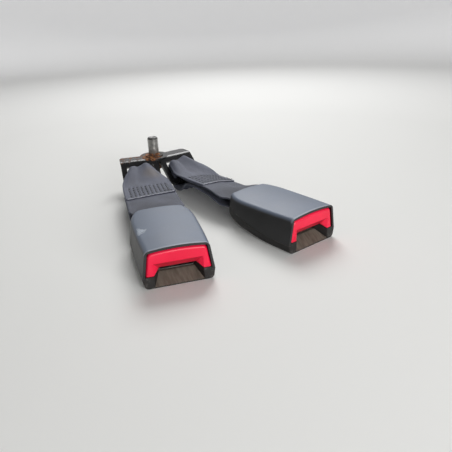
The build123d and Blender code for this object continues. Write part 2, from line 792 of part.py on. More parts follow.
def make_wing():
    """One arm of the bracket in its buckle's frame: a flat half, a bend and a slotted plate down to its bar."""
    top = seat_height - washer_thickness - 2 * stack_gap
    fold = -anchor_bar_x - bar_reach + fold_distance
    slope = atan2(top - bracket_thickness / 2 - anchor_bar_height, -anchor_bar_x - fold)
    bar_axis = Vector(-anchor_bar_x, 0, anchor_bar_height)
    down = Vector(cos(slope), 0, -sin(slope))
    face_up = Vector(sin(slope), 0, cos(slope))
    on_top = bar_axis + face_up * (bracket_thickness / 2)
    end = on_top + down * (bracket_bar / 2)
    rise = (top - on_top.Z) / sin(slope)
    corner = on_top - down * rise
    with BuildPart() as wing:
        with BuildSketch(Plane.XZ):
            with BuildLine():
                FilletPolyline(
                    (corner.X - fold_distance - pad_behind, top),
                    (corner.X, top),
                    (end.X, end.Z),
                    radius=bracket_bend + bracket_thickness,
                )
                offset(amount=bracket_thickness, side=Side.RIGHT)
            make_face()
        extrude(amount=bracket_half, both=True)
        flat = Plane(origin=on_top, x_dir=down, z_dir=face_up)
        with BuildSketch(flat) as slot:
            with Locations((-bracket_bar / 2, 0)):
                Rectangle(bracket_slot_length, 2 * bracket_slot_half, align=(Align.MAX, Align.CENTER))
            fillet(slot.vertices(), slot_corner)
        extrude(amount=2 * bracket_thickness, both=True, mode=Mode.SUBTRACT)
        outer = wing.edges().filter_by(lambda e: abs(e.length - bracket_thickness) < 0.01)
        fillet(outer.sort_by(Axis.X)[-2:], wing_corner)
        fillet(wing.edges().filter_by(lambda e: abs(e.length - bracket_thickness) < 0.01).sort_by(Axis.X)[:2], 4)
    return wing.part


def side_frame(side):
    """The frame of one buckle, side -1 being left and 1 right, seen from behind the bolt."""
    turn = radians(spread_angle)
    ahead = Vector(side * sin(turn), -cos(turn), 0)
    bar = Vector(side * anchor_bar_out, -anchor_bar_forward, -seat_height)
    return Plane(origin=bar + ahead * anchor_bar_x, x_dir=ahead, z_dir=(0, 0, 1))


def make_bracket():
    """Stamped steel bracket: a pad round the bolt and two slotted wings bent down towards the buckles."""
    top = -washer_thickness - 2 * stack_gap
    with BuildPart() as bracket:
        for side in (-1, 1):
            add(side_frame(side).location * make_wing())
        with BuildSketch(Plane.XY.offset(top)):
            Circle(pad_radius)
        extrude(amount=-bracket_thickness)
        with BuildSketch(Plane.XY):
            Circle(shoulder_radius + running_gap)
        extrude(amount=-seat_height, mode=Mode.SUBTRACT)
    return bracket.part


def make_bolt():
    """Shouldered anchor bolt, head below the bracket and thread up."""
    flange_top = -washer_thickness - bracket_thickness - 3 * stack_gap
    with BuildPart() as bolt:
        with BuildSketch(Plane.XY.offset(flange_top)):
            Circle(flange_radius)
        extrude(amount=-flange_height, taper=12)
        with BuildSketch(Plane.XY.offset(flange_top - flange_height)):
            RegularPolygon(head_across_flats / 2, 6, major_radius=False)
        extrude(amount=-head_height)
        with BuildSketch(Plane.XY.offset(flange_top)):
            Circle(shoulder_radius)
        extrude(amount=-flange_top)
        with BuildSketch(Plane.XY):
            Circle(thread_radius)
        extrude(amount=thread_length)
        chamfer(bolt.edges().sort_by(Axis.Z)[-1], thread_chamfer)
    return bolt.part


def make_washer():
    """Captive washer on the shoulder, between the bracket and the vehicle."""
    with BuildPart() as washer:
        with BuildSketch(Plane.XY.offset(-stack_gap - washer_thickness)):
            Circle(washer_radius)
            Circle(shoulder_radius + fit_gap, mode=Mode.SUBTRACT)
        extrude(amount=washer_thickness)
    return washer.part


def save(piece, name):
    """Labels a finished piece and writes it as its own STEP file."""
    piece.label = name
    export_step(piece, f"parts/{name}.step")


os.makedirs("parts", exist_ok=True)
outer_block = make_outer_block()
save(make_bracket(), "anchor_bracket")
save(make_bolt(), "anchor_bolt")
save(make_washer(), "captive_washer")
buckle_pieces = {
    "upper_cover": make_upper_cover(),
    "lower_cover": make_lower_cover(),
    "button": make_button(),
    "frame": make_frame(),
    "latch": make_latch(),
    "latch_pin": make_pivot_pin(),
    "latch_spring": make_leaf(),
    "lock_bar": make_lock_bar(),
    "ejector": make_ejector(),
    "ejector_spring": make_coil(
        ejector_front + ejector_length, ejector_spring_rear, ejector_spring_height, ejector_spring_turns
    ),
    "button_spring": make_coil(
        button_spring_front, frame_wall_start, button_spring_height, button_spring_turns
    ),
    "webbing": make_webbing(),
}
for side_name, side in (("left", -1), ("right", 1)):
    for name, piece in buckle_pieces.items():
        save(side_frame(side).location * piece, f"{side_name}_{name}")
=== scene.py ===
"""Looks for the twin seat belt buckle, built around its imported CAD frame.

The row frame is in metres, +Z up, with the bolt's axis on Z. The webbing and the bolt are written in
millimetres. A buckle's own frame runs forwards out of its mouth, across it and up from the floor.
"""

import math
import random

import bmesh
import bpy
from mathutils import Matrix, Vector


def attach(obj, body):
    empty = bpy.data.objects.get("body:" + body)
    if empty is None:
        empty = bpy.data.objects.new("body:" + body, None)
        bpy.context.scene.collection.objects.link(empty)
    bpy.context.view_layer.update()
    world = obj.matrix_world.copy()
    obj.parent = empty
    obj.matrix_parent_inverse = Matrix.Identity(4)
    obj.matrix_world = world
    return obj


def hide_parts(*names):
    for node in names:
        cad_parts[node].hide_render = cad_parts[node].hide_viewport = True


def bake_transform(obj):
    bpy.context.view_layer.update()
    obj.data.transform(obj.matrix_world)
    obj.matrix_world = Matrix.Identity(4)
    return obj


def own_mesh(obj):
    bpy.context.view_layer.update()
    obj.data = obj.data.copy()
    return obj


MM = 0.001
FLOOR_Z = -33.5 * MM
SPREAD = math.radians(10.5)  # each buckle's turn out from -Y
BAR_OUT, BAR_FORWARD = 23.5, 30.2  # the anchor bars' middles, from the bolt's axis
ANCHOR_BAR_X, ANCHOR_BAR_Z = -179.0, 9.8
BUCKLE_BAR_X, BUCKLE_BAR_Z = -64.0, 18.0
SIDES = {"left": -1, "right": 1}

WEBBING_THICK = 1.3
WEBBING_HALF = 23.0
REAR_LOOP, FRONT_LOOP = 6.5, 3.75  # the belt's radius round each bar
CLOTH_STEPS = 56
GATHER_WAVES = 4

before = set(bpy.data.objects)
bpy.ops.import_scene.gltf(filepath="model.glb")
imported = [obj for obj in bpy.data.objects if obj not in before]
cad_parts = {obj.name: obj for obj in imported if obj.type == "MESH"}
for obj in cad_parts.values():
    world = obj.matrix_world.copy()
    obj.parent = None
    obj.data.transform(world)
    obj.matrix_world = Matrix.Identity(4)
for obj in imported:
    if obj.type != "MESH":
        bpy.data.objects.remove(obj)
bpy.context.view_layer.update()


# ---------------------------------------------------------------- frames
def side_matrix(side):
    """Matrix from a buckle's own frame in millimetres to the row frame in metres."""
    ahead = Vector((side * math.sin(SPREAD), -math.cos(SPREAD), 0))
    across = Vector((math.cos(SPREAD), side * math.sin(SPREAD), 0))
    bar = Vector((side * BAR_OUT, -BAR_FORWARD, 0))
    origin = (bar - ahead * ANCHOR_BAR_X) * MM + Vector((0, 0, FLOOR_Z))
    rows = [[ahead[i] * MM, across[i] * MM, (MM if i == 2 else 0.0), origin[i]] for i in range(3)]
    return Matrix(rows + [[0, 0, 0, 1]])


def smooth(value, low, high):
    """0 below low, 1 above high, and a smooth step between."""
    t = min(max((value - low) / (high - low), 0.0), 1.0)
    return t * t * (3 - 2 * t)


# ---------------------------------------------------------------- materials
class Nodes:
    """A short way to write a material's nodes."""

    def __init__(self, name):
        self.material = bpy.data.materials.new(name)
        self.material.use_nodes = True
        self.tree = self.material.node_tree
        self.tree.nodes.clear()
        self.output = self.tree.nodes.new("ShaderNodeOutputMaterial")

    def add(self, kind, inputs=None, **settings):
        node = self.tree.nodes.new(kind)
        for key, value in settings.items():
            setattr(node, key, value)
        for key, value in (inputs or {}).items():
            self.put(node.inputs[key], value)
        return node

    def put(self, socket, value):
        if isinstance(value, bpy.types.NodeSocket):
            self.tree.links.new(value, socket)
        else:
            socket.default_value = value

    def place(self):
        return self.add("ShaderNodeTexCoord").outputs["Object"]

    def facing_up(self, low, high):
        """How far the surface faces up in the object's rest position, from 0 to 1."""
        normal = self.add("ShaderNodeTexCoord").outputs["Normal"]
        height = self.add("ShaderNodeSeparateXYZ", {0: normal}).outputs["Z"]
        return self.span(height, low, high)

    def ramp(self, fac, stops):
        node = self.add("ShaderNodeValToRGB", {"Fac": fac})
        elements = node.color_ramp.elements
        while len(elements) < len(stops):
            elements.new(0.5)
        for element, (place, colour) in zip(elements, stops):
            element.position = place
            element.color = (*colour, 1.0)
        return node.outputs["Color"]

    def span(self, value, low, high, floor=0.0, top=1.0):
        """A smooth step of value from low to high."""
        inputs = {"Value": value, "From Min": low, "From Max": high, "To Min": floor, "To Max": top}
        return self.add("ShaderNodeMapRange", inputs, interpolation_type="SMOOTHSTEP").outputs["Result"]

    def noise(self, coords, scale, detail=2.0, rough=0.5):
        inputs = {"Vector": coords, "Scale": scale, "Detail": detail, "Roughness": rough}
        return self.add("ShaderNodeTexNoise", inputs).outputs["Fac"]

    def stretched(self, coords, scale):
        return self.add("ShaderNodeVectorMath", {0: coords, 1: scale}, operation="MULTIPLY").outputs[0]

    def mix(self, fac, a, b):
        node = self.add("ShaderNodeMix", {"Factor": fac}, data_type="RGBA")
        for socket, colour in ((6, a), (7, b)):
            self.put(node.inputs[socket], (*colour, 1.0) if isinstance(colour, tuple) else colour)
        return node.outputs[2]

    def maths(self, operation, a, b=0.0):
        node = self.add("ShaderNodeMath", operation=operation)
        self.put(node.inputs[0], a)
        self.put(node.inputs[1], b)
        return node.outputs[0]

    def times(self, a, b):
        return self.maths("MULTIPLY", a, b)

    def near(self, coords, centre, inner, outer):
        """1 within inner of a place in the row frame, all in metres, falling to 0 at outer."""
        reach = self.add("ShaderNodeVectorMath", {0: coords, 1: centre}, operation="DISTANCE")
        return self.span(reach.outputs["Value"], inner, outer, 1.0, 0.0)

    def local(self, coords):
        """The two buckles' shared place in millimetres: forwards, outwards and up from the floor."""
        split = self.add("ShaderNodeSeparateXYZ", {0: coords})
        out = self.maths("SUBTRACT", self.maths("ABSOLUTE", split.outputs["X"]), BAR_OUT * MM)
        back = self.maths("ADD", split.outputs["Y"], BAR_FORWARD * MM)
        turn_x, turn_y = math.sin(SPREAD) / MM, math.cos(SPREAD) / MM
        ahead = self.maths("SUBTRACT", self.times(out, turn_x), self.times(back, turn_y))
        outward = self.maths("ADD", self.times(out, turn_y), self.times(back, turn_x))
        up = self.times(self.maths("SUBTRACT", split.outputs["Z"], FLOOR_Z), 1 / MM)
        return self.maths("ADD", ahead, ANCHOR_BAR_X), outward, up

    def bump(self, height, distance, strength=1.0, normal=None):
        inputs = {"Height": height, "Distance": distance, "Strength": strength}
        if normal is not None:
            inputs["Normal"] = normal
        return self.add("ShaderNodeBump", inputs).outputs["Normal"]

    def shader(self, **inputs):
        node = self.add("ShaderNodeBsdfPrincipled")
        for key, value in inputs.items():
            self.put(node.inputs[key.replace("_", " ")], value)
        self.tree.links.new(node.outputs[0], self.output.inputs["Surface"])
        return self.material


RUST_DARK, RUST_BROWN, RUST_ORANGE = (0.045, 0.020, 0.011), (0.20, 0.075, 0.028), (0.78, 0.36, 0.14)
RIB_PITCH, PICK_PITCH, TWILL_PITCH = 1.15, 1.7, 2.3
# The scuff is a triangle: its tip, back from the mouth and outwards, and its height outwards from there.
SCUFF_TIP_BACK, SCUFF_TIP_OUT = 35.5, 15.6
SCUFF_HEIGHT = 6.6
SCUFF_PLACE = side_matrix(-1) @ Vector((-35.0, -19.6, 27.9))
# The centre of the webbing's lighter brown patch, partly a stain and partly a painted highlight.
STAIN_AND_HIGHLIGHT_PLACE = side_matrix(-1) @ Vector((-172.0, 9.0, 26.5))


def cover_material(name, top, low, top_rough):
    """Moulded charcoal plastic with grain and a scuff, painted sheen and some sun-fade on top, and a painted
    highlight and wear at the mouth.
    """
    n = Nodes(name)
    place = n.place()
    ahead, outward, up = n.local(place)
    cloud = n.noise(place, 42.0, 4.0, 0.6)
    fine = n.noise(place, 420.0, 3.0, 0.65)
    # Painted sky sheen with some sun-fade: the cover is painted lighter and bluer where it faces up.
    sky = n.facing_up(0.30, 0.93)
    sheen_and_fade = n.ramp(cloud, [(0.30, tuple(0.90 * c for c in top)), (0.70, tuple(1.10 * c for c in top))])
    dark = n.ramp(cloud, [(0.30, tuple(0.85 * c for c in low)), (0.70, tuple(1.20 * c for c in low))])
    base = n.mix(sky, dark, sheen_and_fade)
    speckle = n.span(fine, 0.60, 0.78)
    base = n.mix(n.times(n.times(speckle, sky), 0.20), base, (0.34, 0.37, 0.42))
    # Painted highlight with some edge wear: lighter along the top edge of the mouth where it faces up.
    rim = n.times(n.span(ahead, -2.6, -0.9), n.times(n.span(up, 22.0, 26.0), n.facing_up(0.05, 0.5)))
    base = n.mix(n.times(rim, 0.55), base, (0.36, 0.40, 0.47))
    jitter = n.times(n.maths("SUBTRACT", n.noise(place, 480.0, 4.0, 0.7), 0.5), 15.0)
    apart = n.maths("SUBTRACT", outward, n.maths("ABSOLUTE", n.maths("ADD", ahead, SCUFF_TIP_BACK)))
    inner = n.span(n.maths("ADD", apart, jitter), SCUFF_TIP_OUT - 0.3, SCUFF_TIP_OUT + 0.3)
    foot = SCUFF_TIP_OUT + SCUFF_HEIGHT
    outer = n.span(n.maths("ADD", outward, n.times(jitter, 0.5)), foot + 0.6, foot)
    broken = n.span(n.noise(place, 900.0, 3.0, 0.7), 0.36, 0.46, 0.35, 1.0)
    scuff = n.times(n.times(inner, outer), n.times(n.near(place, SCUFF_PLACE, 7.5 * MM, 10.5 * MM), broken))
    base = n.mix(n.times(scuff, 0.72), base, (0.52, 0.58, 0.66))
    scratch_line = n.noise(n.stretched(place, (260.0, 2400.0, 800.0)), 1.0, 2.0, 0.5)
    scratch = n.times(n.span(scratch_line, 0.68, 0.74), sky)
    base = n.mix(n.times(scratch, 0.16), base, (0.40, 0.43, 0.48))
    rough = n.ramp(cloud, [(0.3, (top_rough,) * 3), (0.7, (top_rough + 0.10,) * 3)])
    grain = n.bump(n.noise(place, 2300.0, 3.0, 0.6), 0.00007, 0.55)
    return n.shader(Base_Color=base, Roughness=rough, Normal=n.bump(scratch, 0.00002, 0.4, grain))


def lower_material():
    """The lower shell: charcoal, with painted light in brownish streaks on the up-facing lead-in floor under
    the mouth.
    """
    n = Nodes("lower_plastic")
    place = n.place()
    ahead, _outward, up = n.local(place)
    cloud = n.noise(place, 55.0, 4.0, 0.6)
    base = n.ramp(cloud, [(0.3, (0.013, 0.012, 0.011)), (0.7, (0.023, 0.022, 0.021))])
    # Painted light: the up-facing lead-in floor under the mouth is painted lighter and brownish, in streaks.
    low = n.times(n.span(up, 9.5, 8.0, 0.0, 1.0), n.facing_up(0.25, 0.6))
    mouth = n.times(n.span(ahead, -17.0, -14.0), low)
    streaks = n.noise(n.stretched(place, (500.0, 90.0, 90.0)), 1.0, 3.0, 0.6)
    lead_in_light = n.ramp(streaks, [(0.3, (0.100, 0.082, 0.064)), (0.7, (0.185, 0.155, 0.125))])
    base = n.mix(mouth, base, lead_in_light)
    edge = n.times(n.span(ahead, -1.6, -0.4), n.span(n.noise(place, 300.0, 3.0, 0.6), 0.5, 0.7))
    base = n.mix(n.times(edge, 0.35), base, (0.14, 0.13, 0.12))
    rough = n.ramp(cloud, [(0.3, (0.46,) * 3), (0.7, (0.60,) * 3)])
    grain = n.bump(n.noise(place, 2300.0, 3.0, 0.6), 0.00007, 0.5)
    return n.shader(Base_Color=base, Roughness=rough, Normal=grain, Specular_IOR_Level=0.36)


def red_material():
    """Satin red plastic with a little grime, and painted shade where it faces down and in its recess."""
    n = Nodes("button_red")
    place = n.place()
    ahead, _outward, _up = n.local(place)
    cloud = n.noise(place, 60.0, 3.0, 0.5)
    base = n.ramp(cloud, [(0.3, (0.88, 0.005, 0.048)), (0.7, (0.97, 0.009, 0.064))])
    # Painted shade: darker where the button faces down and behind its front face.
    recess_shade = n.maths("MAXIMUM", n.facing_up(-0.15, -0.55), n.span(ahead, -1.6, -3.8))
    base = n.mix(n.times(recess_shade, 0.60), base, (0.36, 0.004, 0.014))
    grime = n.span(n.noise(place, 380.0, 4.0, 0.7), 0.60, 0.76)
    base = n.mix(n.times(grime, 0.14), base, (0.34, 0.02, 0.03))
    grain = n.noise(place, 3000.0, 2.0, 0.5)
    rough = n.span(cloud, 0.3, 0.7, 0.34, 0.42)
    return n.shader(Base_Color=base, Roughness=rough, Normal=n.bump(grain, 0.00003, 0.3))


def metal_material(name, dark, light, roughness, metallic=1.0):
    """Brushed, slightly cloudy steel, or a moulded plastic where metallic is 0."""
    n = Nodes(name)
    place = n.place()
    cloud = n.noise(place, 220.0, 4.0, 0.6)
    base = n.ramp(cloud, [(0.3, dark), (0.7, light)])
    rough = n.span(n.noise(place, 900.0, 3.0, 0.6), 0.3, 0.7, roughness - 0.06, roughness + 0.08)
    brushed = n.noise(n.stretched(place, (300.0, 300.0, 4200.0)), 1.0, 2.0, 0.5)
    normal = n.bump(brushed, 0.00002, 0.4)
    return n.shader(Base_Color=base, Roughness=rough, Metallic=metallic, Normal=normal)


def rust_mix(n, place, base, amount):
    """Mixes speckled orange and brown rust over a colour, and says where it is, from 0 to 1."""
    grit = n.noise(place, 900.0, 4.0, 0.7)
    depth = n.maths("ADD", amount, n.noise(place, 240.0, 4.0, 0.65))
    tone = n.maths("ADD", grit, n.span(depth, 1.0, 1.25, -0.14, 0.06))
    rust = n.ramp(tone, [(0.30, RUST_DARK), (0.50, RUST_BROWN), (0.72, RUST_ORANGE)])
    rusty = n.span(depth, 0.92, 1.12)
    return n.mix(rusty, base, rust), rusty


def paint_material():
    """Glossy black paint over stamped steel, rusted through along the fold and round the bolt's seat."""
    n = Nodes("bracket_paint")
    place = n.place()
    split = n.add("ShaderNodeSeparateXYZ", {0: place})
    cloud = n.noise(place, 120.0, 4.0, 0.6)
    base = n.ramp(cloud, [(0.3, (0.008, 0.008, 0.009)), (0.7, (0.018, 0.018, 0.020))])
    high = n.span(split.outputs["Z"], -4.6 * MM, -2.2 * MM)
    left = n.span(split.outputs["X"], 5 * MM, -4 * MM)
    fold = n.times(n.times(high, left), n.span(split.outputs["Y"], -13.0 * MM, -8.0 * MM, 0.35, 1.0))
    seat = n.times(n.near(place, (-4 * MM, -4 * MM, 0), 8 * MM, 17 * MM), high)
    amount = n.maths("MAXIMUM", n.times(fold, 0.47), n.times(seat, 0.66))
    chips = n.times(n.span(n.noise(place, 150.0, 5.0, 0.7), 0.60, 0.70), 0.50)
    amount = n.maths("MAXIMUM", amount, chips)
    colour, rusty = rust_mix(n, place, base, amount)
    rough = n.span(rusty, 0.0, 1.0, 0.26, 0.85)
    lumps = n.times(rusty, n.noise(place, 1200.0, 3.0, 0.7))
    peel = n.bump(n.noise(place, 160.0, 2.0, 0.5), 0.0002, 0.35)
    return n.shader(Base_Color=colour, Roughness=rough, Normal=n.bump(lumps, 0.0002, 0.6, peel))


def bolt_material():
    """Grey phosphated steel, oily dark in the threads and rusted towards the seat."""
    n = Nodes("bolt_steel")
    place = n.place()
    split = n.add("ShaderNodeSeparateXYZ", {0: place})
    cloud = n.noise(place, 260.0, 4.0, 0.6)
    base = n.ramp(cloud, [(0.3, (0.22, 0.22, 0.21)), (0.7, (0.50, 0.49, 0.47))])
    rim = n.span(split.outputs["Z"], 16.2 * MM, 17.4 * MM)
    base = n.mix(n.times(rim, 0.8), base, (0.020, 0.020, 0.020))
    stained = n.span(split.outputs["Z"], 8.5 * MM, 0.5 * MM)
    base = n.mix(n.times(stained, 0.75), base, (0.085, 0.040, 0.018))
    foot = n.times(n.span(split.outputs["Z"], 4.5 * MM, 0.8 * MM), 0.62)
    colour, _rusty = rust_mix(n, place, base, foot)
    metal = n.span(stained, 0.2, 0.9, 0.75, 0.1)
    rough = n.span(stained, 0.0, 1.0, 0.36, 0.80)
    return n.shader(Base_Color=colour, Roughness=rough, Metallic=metal, Normal=n.bump(cloud, 0.0001, 0.3))


def washer_material():
    """Dull dark steel, rustier towards the left."""
    n = Nodes("washer_steel")
    place = n.place()
    cloud = n.noise(place, 260.0, 4.0, 0.6)
    base = n.ramp(cloud, [(0.3, (0.030, 0.026, 0.022)), (0.7, (0.090, 0.078, 0.066))])
    side = n.add("ShaderNodeSeparateXYZ", {0: place}).outputs["X"]
    colour, _rusty = rust_mix(n, place, base, n.span(side, 8.0 * MM, 0.0, 0.30, 0.64))
    return n.shader(Base_Color=colour, Roughness=0.75, Metallic=0.2, Normal=n.bump(cloud, 0.0002, 0.5))


def webbing_material():
    """Grey polyester webbing: warp ribs crossed by weft picks, darker where handled, with a lighter brown
    patch, partly stain, partly painted highlight.
    """
    n = Nodes("webbing")
    place = n.place()
    cloth = n.add("ShaderNodeAttribute", attribute_name="cloth").outputs["Vector"]
    split = n.add("ShaderNodeSeparateXYZ", {0: cloth})
    along, across = split.outputs["X"], split.outputs["Y"]
    rib = n.maths("SINE", n.times(across, 2 * math.pi / RIB_PITCH))
    pick = n.maths("SINE", n.times(along, 2 * math.pi / PICK_PITCH))
    twill = n.maths("SINE", n.times(n.maths("ADD", along, across), 2 * math.pi / TWILL_PITCH))
    weave = n.maths("ADD", n.times(n.times(rib, pick), 0.5), n.times(twill, 0.35))
    cloud = n.noise(place, 55.0, 4.0, 0.6)
    base = n.ramp(cloud, [(0.28, (0.066, 0.073, 0.105)), (0.72, (0.140, 0.152, 0.212))])
    ahead, _outward, _up = n.local(place)
    handled = n.times(n.span(ahead, -124.0, -116.0), n.span(cloud, 0.2, 0.7, 1.0, 0.5))
    base = n.mix(n.times(handled, 0.8), base, (0.042, 0.046, 0.066))
    base = n.mix(n.span(weave, -0.2, 0.7, 0.30, 0.0), base, (0.045, 0.047, 0.060))
    stripe = n.span(n.noise(n.stretched(cloth, (0.02, 0.8, 1.0)), 1.0, 3.0, 0.6), 0.35, 0.7)
    base = n.mix(n.times(stripe, 0.22), base, (0.055, 0.056, 0.068))
    # A lighter brown patch on the tent's lit facet: partly a brown stain, partly a painted highlight.
    stain_and_highlight = n.times(n.near(place, STAIN_AND_HIGHLIGHT_PLACE, 3 * MM, 14 * MM), n.span(cloud, 0.35, 0.6, 0.55, 1.0))
    base = n.mix(n.times(stain_and_highlight, 0.5), base, (0.19, 0.155, 0.125))
    dust = n.span(n.noise(place, 700.0, 4.0, 0.7), 0.58, 0.75)
    base = n.mix(n.times(dust, 0.12), base, (0.30, 0.30, 0.33))
    height = n.maths("ADD", weave, n.times(n.noise(place, 1600.0, 3.0, 0.6), 0.5))
    return n.shader(
        Base_Color=base,
        Roughness=0.62,
        Specular_IOR_Level=0.32,
        Sheen_Weight=0.22,
        Sheen_Roughness=0.4,
        Sheen_Tint=(0.78, 0.84, 1.0, 1.0),
        Normal=n.bump(height, 0.00016, 0.7),
    )


def thread_material(name, dark, light):
    """Twisted sewing thread."""
    n = Nodes(name)
    place = n.place()
    twist = n.noise(n.stretched(place, (1500.0, 3000.0, 2200.0)), 1.0, 2.0, 0.6)
    base = n.ramp(twist, [(0.35, dark), (0.65, light)])
    return n.shader(Base_Color=base, Roughness=0.7, Sheen_Weight=0.2, Normal=n.bump(twist, 0.0001, 0.5))


materials = {
    # The cover's top colour is a painted sky sheen over some sun-fade; its low colour is the plastic's own.
    "cover": cover_material("cover_plastic", (0.134, 0.168, 0.236), (0.015, 0.015, 0.016), 0.42),
    "lower": lower_material(),
    "red": red_material(),
    "steel": metal_material("zinc_steel", (0.30, 0.30, 0.30), (0.52, 0.51, 0.48), 0.34),
    "spring": metal_material("spring_steel", (0.22, 0.22, 0.23), (0.40, 0.40, 0.42), 0.30),
    "paint": paint_material(),
    "bolt": bolt_material(),
    "washer": washer_material(),
    "ejector": metal_material("ejector_plastic", (0.62, 0.61, 0.57), (0.72, 0.71, 0.67), 0.5, 0.0),
    "webbing": webbing_material(),
    "thread": thread_material("dark_thread", (0.060, 0.063, 0.078), (0.170, 0.178, 0.210)),
    "sealed": thread_material("sealed_end", (0.20, 0.21, 0.25), (0.62, 0.63, 0.70)),
}
NODE_MATERIALS = {
    "upper_cover": "cover",
    "lower_cover": "lower",
    "button": "red",
    "frame": "steel",
    "latch": "steel",
    "latch_pin": "steel",
    "latch_spring": "spring",
    "lock_bar": "steel",
    "ejector": "ejector",
    "ejector_spring": "spring",
    "button_spring": "spring",
}


def set_material(obj, material):
    obj.data.materials.clear()
    obj.data.materials.append(material)


for side_name in SIDES:
    for node, key in NODE_MATERIALS.items():
        set_material(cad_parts[f"{side_name}_{node}"], materials[key])
set_material(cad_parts["anchor_bracket"], materials["paint"])
set_material(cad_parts["captive_washer"], materials["washer"])


# ---------------------------------------------------------------- webbing
# The belt's stations in a buckle's own frame: forwards, up, half width to the left and right, how far the
# cloth is gathered into waves, and how far it stands up as a tent over the bracket's slot.
UPPER_RUN = (
    (-157, 18.7, 20.0, 21.0, 0.0, 0.10),
    (-146, 19.4, 22.6, 23.0, 0.0, 0.0),
    (-134, 19.9, 23.0, 23.0, 0.0, 0.0),
    (-122, 20.4, 23.0, 23.0, 0.0, 0.0),
    (-110, 20.7, 23.0, 23.0, 0.0, 0.0),
    (-98, 20.9, 23.0, 23.0, 0.0, 0.0),
    (-88, 21.1, 22.8, 22.8, 0.0, 0.0),
    (-82, 21.3, 20.2, 20.2, 0.0, 0.0),
    (-73, 21.6, 20.2, 20.2, 0.0, 0.0),
)
LOWER_RUN = (
    (-73, 14.15, 20.2, 20.2, 0.0, 0.0),
    (-82, 14.0, 20.2, 20.2, 0.0, 0.0),
    (-88, 13.95, 22.8, 22.8, 0.0, 0.0),
    (-98, 14.4, 23.0, 23.0, 0.0, 0.0),
    (-110, 15.3, 23.0, 23.0, 0.0, 0.0),
    (-122, 16.0, 23.0, 23.0, 0.0, 0.0),
    (-132, 16.2, 23.0, 23.0, 0.0, 0.0),
    (-141, 15.6, 22.4, 22.4, 0.05, 0.0),
    (-150, 13.5, 20.5, 20.5, 0.2, 0.0),
    (-157, 10.7, 17.8, 17.8, 0.5, 0.0),
    (-165, 6.95, 15.0, 15.0, 0.85, 0.0),
    (-172, 4.4, 13.2, 13.2, 1.0, 0.0),
)
TENT_RUN = (
    (-186.6, 13.6, 12.7, 12.7, 1.0, 0.0),
    (-189.6, 17.0, 12.7, 12.7, 0.5, 0.40),
    (-191.8, 20.2, 12.9, 12.9, 0.1, 0.90),
    (-190.2, 21.6, 13.2, 13.2, 0.0, 1.0),
    (-184.0, 21.3, 14.6, 14.0, 0.0, 0.96),
    (-177.0, 20.9, 17.4, 16.4, 0.0, 0.82),
    (-169.0, 20.5, 20.0, 19.4, 0.0, 0.56),
    (-161.0, 20.5, 21.8, 22.2, 0.0, 0.28),
    (-153.0, 20.8, 22.6, 23.0, 0.0, 0.08),
    (-145.0, 21.0, 23.0, 23.0, 0.0, 0.0),
    (-133.0, 21.4, 23.0, 23.0, 0.0, 0.0),
    (-121.5, 21.8, 23.0, 23.0, 0.0, 0.0),
)
# The tent's height over its foot, from the left selvedge at -1 to the right at 1: a lobe, a dip and a ridge.
TENT_PROFILE = (
    (-1.0, 3.6),
    (-0.77, 7.2),
    (-0.52, 7.6),
    (-0.28, 6.4),
    (0.02, 7.8),
    (0.40, 9.8),
    (0.68, 7.6),
    (1.0, 3.4),
)
BAR_HALF_AT_BUCKLE, BAR_HALF_AT_ANCHOR = 20.2, 12.7  # half the belt's width on each bar
TRACK_STEP = 1.6
LAP_REACH = 80.0  # the slanted and puckered stretch before the belt's outer end
LAP_SLANT = 0.222
SLANT_GROWS = (-168, -135)
# On its free run a belt's right edge sinks and its left edge rises, by its roll times that edge's share.
ROLL = {"left": 0.6, "right": 5.0}
ROLL_RIGHT_SHARE, ROLL_LEFT_SHARE = 1.25, 0.7
ROLL_GROWS, ROLL_FADES = (-176, -146), (-112, -86)
SELVEDGE_SWELL, SELVEDGE_ROUND = 1.25, 0.45
PUCKER_DEPTH = 0.30
PUCKER_STARTS, PUCKER_STOPS, PUCKER_EDGE = (0.5, 3.5), (27.0, 31.0), (18.5, 20.5)
COLUMNS = 10
COLUMN_PITCH = 3.9
COLUMN_START = 2.2
COLUMN_LENGTH = 27.0
STITCH = 2.6
ZIGZAG = 1.35
THREAD = 0.40
STITCH_SEED, SEALED_SEED = 7, 11
# One stitch's thread: how far along the stitch and how far off the cloth.
STITCH_ARC = ((0.0, -0.30), (0.2, 0.14), (0.5, 0.26), (0.8, 0.14), (1.0, -0.30))
LOOSE_ENDS = 7
LOOSE_THREAD = 0.22
LOOSE_ACROSS = 17.2
SEALED_HALF = 22.6
SEALED_BEAD = 0.45
SEALED_STEPS = 46


def curve_at(points, place):
    """A smooth curve through points of (place, height), read at a place."""
    if place <= points[0][0]:
        return points[0][1]
    for i in range(len(points) - 1):
        (x0, y0), (x1, y1) = points[i], points[i + 1]
        if place <= x1:
            before = points[i - 1] if i else (2 * x0 - x1, y0)
            after = points[i + 2] if i + 2 < len(points) else (2 * x1 - x0, y1)
            slope0 = (y1 - before[1]) / (x1 - before[0]) * (x1 - x0)
            slope1 = (after[1] - y0) / (after[0] - x0) * (x1 - x0)
            t = (place - x0) / (x1 - x0)
            rise = (2 * t**3 - 3 * t**2 + 1) * y0 + (3 * t**2 - 2 * t**3) * y1
            return rise + (t**3 - 2 * t**2 + t) * slope0 + (t**3 - t**2) * slope1
    return points[-1][1]


def round_bar(x, z, radius, start, turn, half, gather):
    """Stations round a bar, from start degrees through turn degrees."""
    steps = 6
    found = []
    for i in range(steps + 1):
        angle = math.radians(start + turn * i / steps)
        found.append((x + radius * math.cos(angle), z + radius * math.sin(angle), half, half, gather, 0.0))
    return found


